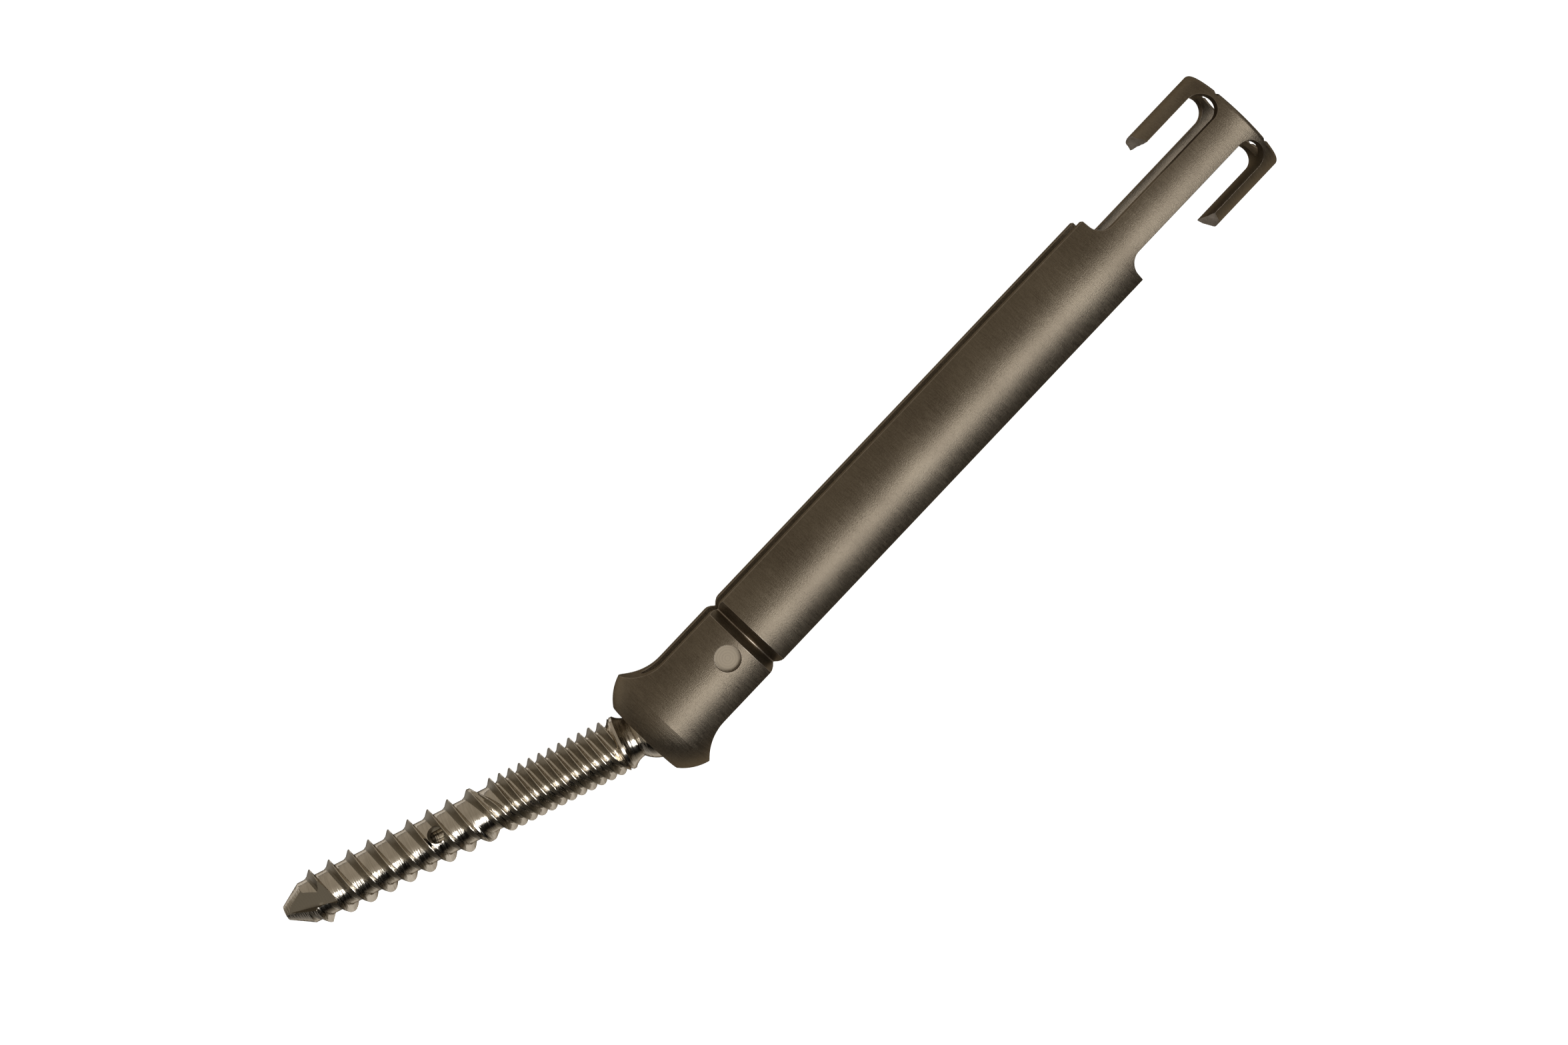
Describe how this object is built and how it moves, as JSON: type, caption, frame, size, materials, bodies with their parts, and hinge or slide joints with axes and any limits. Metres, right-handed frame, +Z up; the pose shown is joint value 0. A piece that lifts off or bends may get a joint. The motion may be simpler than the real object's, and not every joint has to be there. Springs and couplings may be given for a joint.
{
  "type": "orthopedic bone screw",
  "caption": "Polyaxial bone screw with a ball head held in a slotted tower of long half shells, with a break-off groove and an end ring. Its side tabs are snapped off.",
  "frame": {"origin": "middle of the whole part's box, on the surface that it lies on", "axes": "+X along the tower from the ball joint to the end ring, +Z up from the surface that it lies on"},
  "size_m": [0.1378, 0.024, 0.014],
  "materials": {
    "bronze_titanium": "matte bronze-grey anodised titanium with fine turning lines",
    "inner_titanium": "satin titanium",
    "bare_titanium": "bright machined titanium"
  },
  "bodies": {
    "tower": {"tulip_tower": "bronze_titanium", "pressure_saddle": "inner_titanium"},
    "ring": {"retaining_ring": "inner_titanium"},
    "shank": {"bone_screw_shank": "bare_titanium"}
  },
  "joints": [
    {"name": "swivel", "type": "hinge", "parent": "tower", "child": "ring", "pos_m": [-0.02465, -0.00496, 0.007], "axis": [1, 0, 0], "continuous": true},
    {"name": "tilt", "type": "hinge", "parent": "ring", "child": "shank", "pos_m": [-0.02465, -0.00496, 0.007], "axis": [0, -0.2694, -0.963], "range_deg": [-44.88, 5.12]}
  ]
}
